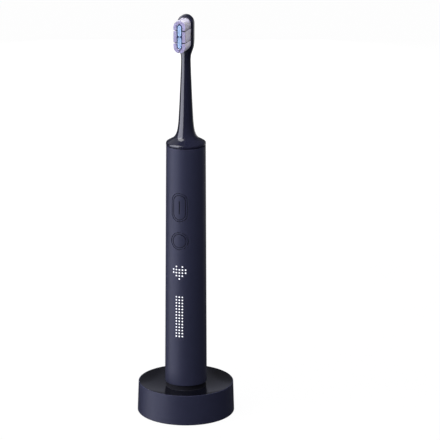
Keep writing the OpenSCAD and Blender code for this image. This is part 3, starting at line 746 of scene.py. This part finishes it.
def head_shell():
    b = Builder()
    n = 96
    zc, w = 275.7 - 5.5, 5.5

    def section(z, hw, front, rear, power):
        pts = []
        mid, half = (rear - front) / 2, (rear + front) / 2
        for i in range(n):
            t = -math.pi + 2 * math.pi * i / n - math.pi / 2
            c, s = math.cos(t), math.sin(t)
            pts.append((hw * math.copysign(abs(c) ** (2 / power), c), mid + half * math.copysign(abs(s) ** (2 / power), s), z))
        return pts

    # skirt and neck, as (radius, height)
    fillet = [(13.0, SKIRT_Z), (13.15, SKIRT_Z + 0.04), (13.26, SKIRT_Z + 0.14), (13.3, SKIRT_Z + 0.3)]
    edge = [(13.3, SKIRT_Z + 0.3), (13.3, 188.55), (13.28, 188.75), (13.22, 188.98), (13.11, 189.2), (12.92, 189.42), (12.62, 189.64), (12.3, 189.82)]
    neck = smooth_curve([(12.3, 189.82), (11.4, 190.32), (10.0, 191.13), (8.55, 192.05), (7.3, 193.45), (6.3, 195.5), (5.7, 197.8),
                         (5.28, 200.6), (4.9, 204.8), (4.5, 212), (4.12, 220), (3.78, 228), (3.45, 236), (3.24, 243)], 6)
    loops, groups = [], []

    def add(pts, g):
        if loops:
            groups.append(g)
        loops.append(pts)
    for r, z in fillet:
        add(section(z, r, r, r, 2), 1)
    for r, z in edge[1:]:
        add(section(z, r, r, r, 2), 2 if z < 188.6 else 1)
    b.slot = {2: 1}
    for r, z in neck[1:]:
        add(section(z, r, r, r, 2), 1)
    # neck to plate: half width, front, rear, power
    table = [(243.0, 3.24, 3.24, 3.24, 2.0), (245.5, 3.2, 3.2, 3.2, 2.0), (247.5, 3.3, 3.1, 3.15, 2.05), (249.4, 3.62, 2.85, 3.0, 2.3),
             (251.3, 4.25, 2.5, 2.75, 2.9), (253.2, 4.9, 2.2, 2.5, 3.8), (255.2, 5.3, 2.1, 2.35, 4.8), (257.4, 5.47, 2.1, 2.3, 5.6), (260, 5.5, 2.1, 2.3, 6.0)]
    dense = smooth_rows(table, 6)
    for row in dense[1:]:
        add(section(*row), 1)
    for z in np.linspace(260, zc, 8)[1:]:
        add(section(z, w, 2.1, 2.3, 6.0), 1)
    for k in range(1, 34):
        a = math.pi / 2 * k / 34
        s = math.sin(a)
        hw = w * math.cos(a)
        h = (1 - s ** 14) ** (1 / 14)
        add(section(zc + w * s * 1.0, hw, 2.1 * h, 2.3 * h, 6.0), 1)
    ids = b.loops(loops, groups)
    b.fan(ids[-1], (0, 0.1, 275.7), 1)
    # underside: lip, hollow, hub and bore
    under = [(13.0, SKIRT_Z), (12.2, SKIRT_Z), (12.1, SKIRT_Z + 0.1), (12.1, 188.7), (9.6, 190.0), (7.6, 191.1), (6.4, 192.6), (5.4, 194.6),
             (4.3, 196.1), (4.2, 195.8), (4.2, SKIRT_Z + 2.2), (4.0, SKIRT_Z + 2), (2.7, SKIRT_Z + 2), (2.5, SKIRT_Z + 2.15), (2.5, 206.0), (0.4, 206.0)]
    ui = b.loops([section(z, r, r, r, 2) for r, z in under], [50, 51, 52, 53, 53, 53, 53, 53, 54, 55, 56, 57, 58, 59, 60])
    b.fan(ui[-1], (0, 0, 206.0), 60)
    return b.make("head_body")


def smooth_rows(table, n_per):
    p = [np.array(q, float) for q in table]
    out = []
    for i in range(len(p) - 1):
        p0 = p[i - 1] if i else 2 * p[0] - p[1]
        p1, p2 = p[i], p[i + 1]
        p3 = p[i + 2] if i + 2 < len(p) else 2 * p[-1] - p[-2]
        for k in range(n_per):
            t = k / n_per
            out.append(0.5 * ((2 * p1) + (p2 - p0) * t + (2 * p0 - 5 * p1 + 4 * p2 - p3) * t * t + (3 * p1 - p0 - 3 * p2 + p3) * t ** 3))
    out.append(p[-1])
    return [tuple(q) for q in out]


piece(head_shell(), (M_HEAD, M_LAND), "brush_head", "navy_gloss", "head_shell")


# ------------------------------------------------------------------ bristles
def stadium_depth(x, z, w, l):
    """How far a point is inside a stadium of half width w and half length l, negative outside."""
    h = l - w
    dz = max(0.0, abs(z) - h)
    return w - math.hypot(x, dz)


def filaments(name, inside, length, pitch, radius, spread, mat, slot, node, sides=6):
    """Rows of single strands over the region where inside(x, z) is positive, with rounded, slightly splayed tips."""
    verts, faces, tone = [], [], []
    row, z = 0, -FIELD_L
    while z < FIELD_L:
        x = -FIELD_W + (pitch / 2 if row % 2 else 0)
        while x < FIELD_W:
            px, pz = x + rng.uniform(-0.05, 0.05) * pitch, z + rng.uniform(-0.05, 0.05) * pitch
            if inside(px, pz) > radius:
                ln = length + rng.uniform(-0.07, 0.05)
                shade = rng.random()
                lean_x, lean_z = spread * px / FIELD_W + rng.uniform(-0.03, 0.03), spread * 0.6 * pz / FIELD_L + rng.uniform(-0.03, 0.03)
                prof = [(0.0, 1.0), (0.45, 1.0), (0.965, 0.97), (0.985, 0.82), (0.996, 0.5)]
                base = len(verts)
                for t, s in prof:
                    y = PLATE_Y0 - ln * t
                    cx, cz = px + lean_x * t * t, pz + lean_z * t * t
                    for k in range(sides):
                        a = 2 * math.pi * k / sides
                        verts.append(((cx + radius * s * math.cos(a)) * MM, y * MM, (FIELD_Z + cz + radius * s * math.sin(a)) * MM))
                        tone.append(shade)
                verts.append(((px + lean_x) * MM, (PLATE_Y0 - ln) * MM, (FIELD_Z + pz + lean_z) * MM))
                tone.append(shade)
                for q in range(len(prof) - 1):
                    for k in range(sides):
                        k2 = (k + 1) % sides
                        faces.append((base + q * sides + k, base + q * sides + k2, base + (q + 1) * sides + k2, base + (q + 1) * sides + k))
                last = base + (len(prof) - 1) * sides
                for k in range(sides):
                    faces.append((last + k, last + (k + 1) % sides, base + len(prof) * sides))
            x += pitch
        z += pitch * 0.866
        row += 1
    me = bpy.data.meshes.new(name)
    me.from_pydata(verts, [], faces)
    me.update()
    att = me.attributes.new("strand", "FLOAT", "POINT")
    att.data.foreach_set("value", np.array(tone, np.float32))
    for p in me.polygons:
        p.use_smooth = True
    ob = bpy.data.objects.new(name, me)
    bpy.context.scene.collection.objects.link(ob)
    return piece(ob, mat, "brush_head", slot, node)


def outer_field(x, z):
    """Six blocks of tufts round an oval: a wide gap between blocks and a hairline between tufts."""
    out, inn = stadium_depth(x, z, FIELD_W, FIELD_L), -stadium_depth(x, z, FIELD_W - 2.35, FIELD_L - 2.45)
    d = min(out, inn, abs(abs(z) - 4.0) - 0.24)
    if abs(z) > FIELD_L - 3.4:
        d = min(d, abs(x) - 0.19)
    h = FIELD_L - FIELD_W
    run = abs(z) if abs(z) < h else h + (FIELD_W - 1.2) * math.atan2(abs(z) - h, abs(x))
    row = 0.0 if out < inn else 0.6
    if 0.3 < abs(abs(z) - 4.0):
        d = min(d, abs((run + 0.2 + row) % 1.2 - 0.6) - 0.03)
    return d


def inner_field(x, z):
    return max(stadium_depth(x, z - 4.05, 1.35, 3.85), stadium_depth(x, z + 4.05, 1.35, 3.85))


def cores(name, shapes, depth, mat, slot):
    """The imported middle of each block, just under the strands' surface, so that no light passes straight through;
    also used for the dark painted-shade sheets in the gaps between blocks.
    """
    b = Builder()
    for k, lp in enumerate(shapes):
        prof = [(lp, 0.0, 1.0), (lp, depth - 0.25, 1.0), (lp, depth, 0.97)]
        ids = []
        c = np.mean(np.array(lp), axis=0)
        for pts, y, s in prof:
            ids.append(b.pts([(c[0] + (x - c[0]) * s, PLATE_Y0 - y, FIELD_Z + c[1] + (z - c[1]) * s) for x, z in pts]))
        b.strip(ids[0], ids[1], 10 * k)
        b.strip(ids[1], ids[2], 10 * k)
        scaled = [(c[0] + (x - c[0]) * 0.97, c[1] + (z - c[1]) * 0.97) for x, z in lp]
        b.flat(scaled, [], 10 * k + 1, lambda p: (p[0], PLATE_Y0 - depth, FIELD_Z + p[1]))
        b.flat([tuple(p) for p in lp], [], 10 * k + 2, lambda p: (p[0], PLATE_Y0, FIELD_Z + p[1]))
    ob = b.make(name)
    att = ob.data.attributes.new("strand", "FLOAT", "POINT")
    att.data.foreach_set("value", np.full(len(ob.data.vertices), 0.35, np.float32))
    return piece(ob, mat, "brush_head", slot)


def block_loops(inset):
    """Outlines of the six outer blocks: two straight sides and four quarter ends, inset from the field's outline."""
    w, l, iw = FIELD_W - inset, FIELD_L - inset, FIELD_W - 2.35 + inset
    h, out = FIELD_L - FIELD_W, []
    zg, xg = 4.0 + 0.24 + inset, 0.19 + inset
    for sx in (-1, 1):
        out.append([(sx * iw, -4.0 + 0.24 + inset), (sx * w, -4.0 + 0.24 + inset), (sx * w, 4.0 - 0.24 - inset), (sx * iw, 4.0 - 0.24 - inset)])
        for sz in (-1, 1):
            a0 = math.acos(min(1, xg / w))
            outer = [(w * math.cos(a0 * t / 12), h + w * math.sin(a0 * t / 12)) for t in range(13)]
            ih = FIELD_L - 2.45 - (FIELD_W - 2.35)
            a1 = math.acos(min(1, xg / iw))
            inner = [(iw * math.cos(a1 * t / 8), ih + iw * math.sin(a1 * t / 8)) for t in range(8, -1, -1)]
            out.append([(sx * x, sz * z) for x, z in [(iw, zg), (w, zg)] + outer + inner])
    return out


cores("lilac_core", block_loops(0.14), BRISTLE - 0.17, M_LILAC, "bristle_lilac")
cores("blue_core", [[(x, z + s * 4.05) for x, z in pill(0, 0, 3.85 - 1.35).at(1.35 - 0.14)] for s in (-1, 1)], BRISTLE - 0.47, M_BLUE, "bristle_blue")

# Dark sheets in the gaps between the tuft blocks and at the field's ends: painted shade where the gaps fall dark, not a
# part of the brush.
def gap_shade_sheet(side, z):
    return [(side * x, z + c) for x, c in ((1.95, -0.2), (3.72, -0.2), (3.72, 0.2), (1.95, 0.2))]


ends = [[(t * 0.09, side * z) for t, z in ((-1, 8.5), (1, 8.5), (1, 10.5), (-1, 10.5))] for side in (-1, 1)]
cores("gap_shade_deep", [gap_shade_sheet(1, -4.0), gap_shade_sheet(1, 4.0)], BRISTLE - 0.4, M_GAP_SHADE, "navy_gloss")
cores("gap_shade_short", [gap_shade_sheet(-1, -4.0), gap_shade_sheet(-1, 4.0)] + ends, 6.0, M_GAP_SHADE, "navy_gloss")

filaments("lilac_strands", outer_field, BRISTLE - 0.06, 0.27, 0.125, 0.12, M_LILAC, "bristle_lilac", "outer_bristles")
filaments("blue_strands", inner_field, BRISTLE - 0.36, 0.27, 0.125, 0.05, M_BLUE, "bristle_blue", "inner_bristles")


# ------------------------------------------------------------------ stage, light and camera
AZ = math.radians(19.0)
KEY, OVER, REAR, SIDE, BACK, FRONT, FILL, EDGE, HIND = 20, 11, 0.5, 25, 0.045, 12.5, 0.08, 0.45, 14


def stage_floor():
    b = Builder()
    b.loops([[(x * 4000, y * 4000, 0) for x, y in ((-1, -1), (1, -1), (1, 1), (-1, 1))], [(x * 40, y * 40, 0) for x, y in ((-1, -1), (1, -1), (1, 1), (-1, 1))]], 1)
    ids = b.pts([(x * 40, y * 40, 0) for x, y in ((-1, -1), (1, -1), (1, 1), (-1, 1))])
    b.f.append(tuple(ids)); b.g.append(1)
    ob = b.make("floor")
    m, nt, p = new_mat("pale_floor")
    n = noise(nt, 8, 3, 0.5)
    link(nt, mix_colour(nt, remap(nt, n, 0.3, 0.7, 0, 1), (0.012, 0.012, 0.0121), (0.010, 0.010, 0.0101)), p.inputs["Base Color"])
    link(nt, remap(nt, n, 0.3, 0.7, 0.8, 0.9), p.inputs["Roughness"])
    p.inputs["Specular IOR Level"].default_value = 0.1
    p.inputs["Emission Color"].default_value = (1, 1, 1, 1)
    p.inputs["Emission Strength"].default_value = 0.978
    ob.data.materials.append(m)
    ob.visible_diffuse = False
    ob.visible_glossy = False
    ob.visible_transmission = False
    ob.visible_shadow = False


stage_floor()
world = bpy.data.worlds.new("studio")
bpy.context.scene.world = world
world.use_nodes = True
wt = world.node_tree
for n in list(wt.nodes):
    wt.nodes.remove(n)
w_out = wt.nodes.new("ShaderNodeOutputWorld")
w_mix = wt.nodes.new("ShaderNodeMixShader")
w_path = wt.nodes.new("ShaderNodeLightPath")
w_white = wt.nodes.new("ShaderNodeBackground")
w_fill = wt.nodes.new("ShaderNodeBackground")
w_white.inputs[0].default_value = (1, 1, 1, 1)
w_white.inputs[1].default_value = 1.0
w_fill.inputs[1].default_value = FILL
w_co = wt.nodes.new("ShaderNodeTexCoord")
w_sep = wt.nodes.new("ShaderNodeSeparateXYZ")
w_ramp = wt.nodes.new("ShaderNodeValToRGB")
w_ramp.color_ramp.elements[0].position = 0.0
w_ramp.color_ramp.elements[0].color = (0.10, 0.105, 0.13, 1)
w_ramp.color_ramp.elements[1].position = 1.0
w_ramp.color_ramp.elements[1].color = (1.0, 1.0, 1.06, 1)
wt.links.new(w_co.outputs["Generated"], w_sep.inputs[0])
wt.links.new(remap(wt, w_sep.outputs["Z"], -0.5, 0.1, 0, 1), w_ramp.inputs[0])
wt.links.new(w_ramp.outputs[0], w_fill.inputs[0])
wt.links.new(w_path.outputs["Is Camera Ray"], w_mix.inputs[0])
wt.links.new(w_fill.outputs[0], w_mix.inputs[1])
wt.links.new(w_white.outputs[0], w_mix.inputs[2])
wt.links.new(w_mix.outputs[0], w_out.inputs[0])


def area(name, loc, target, size, size_y, power, colour=(1, 1, 1)):
    l = bpy.data.lights.new(name, "AREA")
    l.shape = "RECTANGLE"
    l.size, l.size_y, l.energy, l.color = size, size_y, power, colour
    o = bpy.data.objects.new(name, l)
    o.location = loc
    o.rotation_euler = (Vector(target) - Vector(loc)).to_track_quat("-Z", "Y").to_euler()
    bpy.context.scene.collection.objects.link(o)
    return o


def around(degrees, distance, z):
    """A place round the object: degrees from the camera's direction, to the left when negative."""
    a = AZ + math.radians(degrees)
    return (math.sin(a) * distance, -math.cos(a) * distance, z)


D, H, PITCH, FPX = 1.8913, 0.6988, math.radians(16.60), 2946.6
right = Vector((math.cos(AZ), math.sin(AZ), 0))
toward = Vector((math.sin(AZ), -math.cos(AZ), 0))
key_light = area("key", around(-73, 0.8, 0.3), (0, 0, 0.3), 0.98, 1.5, KEY, (0.96, 0.97, 1.10))
over_light = area("over", around(-80, 0.7, 1.3), (0, 0, 0.2), 0.9, 0.8, OVER)
rear_light = area("rear", around(-140, 0.7, 0.8), (0, 0, 0.2), 0.7, 0.6, REAR)
edge_light = area("edge", around(142, 0.8, 0.1), (0, 0, 0.25), 0.5, 0.5, EDGE)
side_light = area("side", around(-51, 0.8, 0.95), (0, 0, 0.15), 0.9, 0.9, SIDE)
back_light = area("back", around(180, 0.9, 0.42), (0, 0, 0.05), 0.17, 0.75, BACK, (0.86, 0.89, 1.16))
front_light = area("front", around(40, 0.9, 1.0), (0, 0, 0.15), 1.4, 1.4, FRONT)
hind_light = area("hind", around(180, 1.1, 0.2), (0, 0, 0.15), 0.3, 0.5, HIND)
for o in (key_light, over_light, rear_light, edge_light):
    o.visible_diffuse = False
side_light.visible_glossy = False
front_light.visible_glossy = False
hind_light.visible_glossy = False

cam = bpy.data.cameras.new("camera")
cam_ob = bpy.data.objects.new("camera", cam)
bpy.context.scene.collection.objects.link(cam_ob)
cam_ob.location = toward * D + Vector((0, 0, H))
cam_ob.rotation_euler = (math.pi / 2 - PITCH, 0, AZ)
cam.sensor_width = 36
cam.lens = FPX / 440 * 36
cam.shift_x = (220 - 185.95) / 440
cam.clip_end = 20
bpy.context.scene.camera = cam_ob
bpy.context.scene.view_settings.view_transform = "Standard"
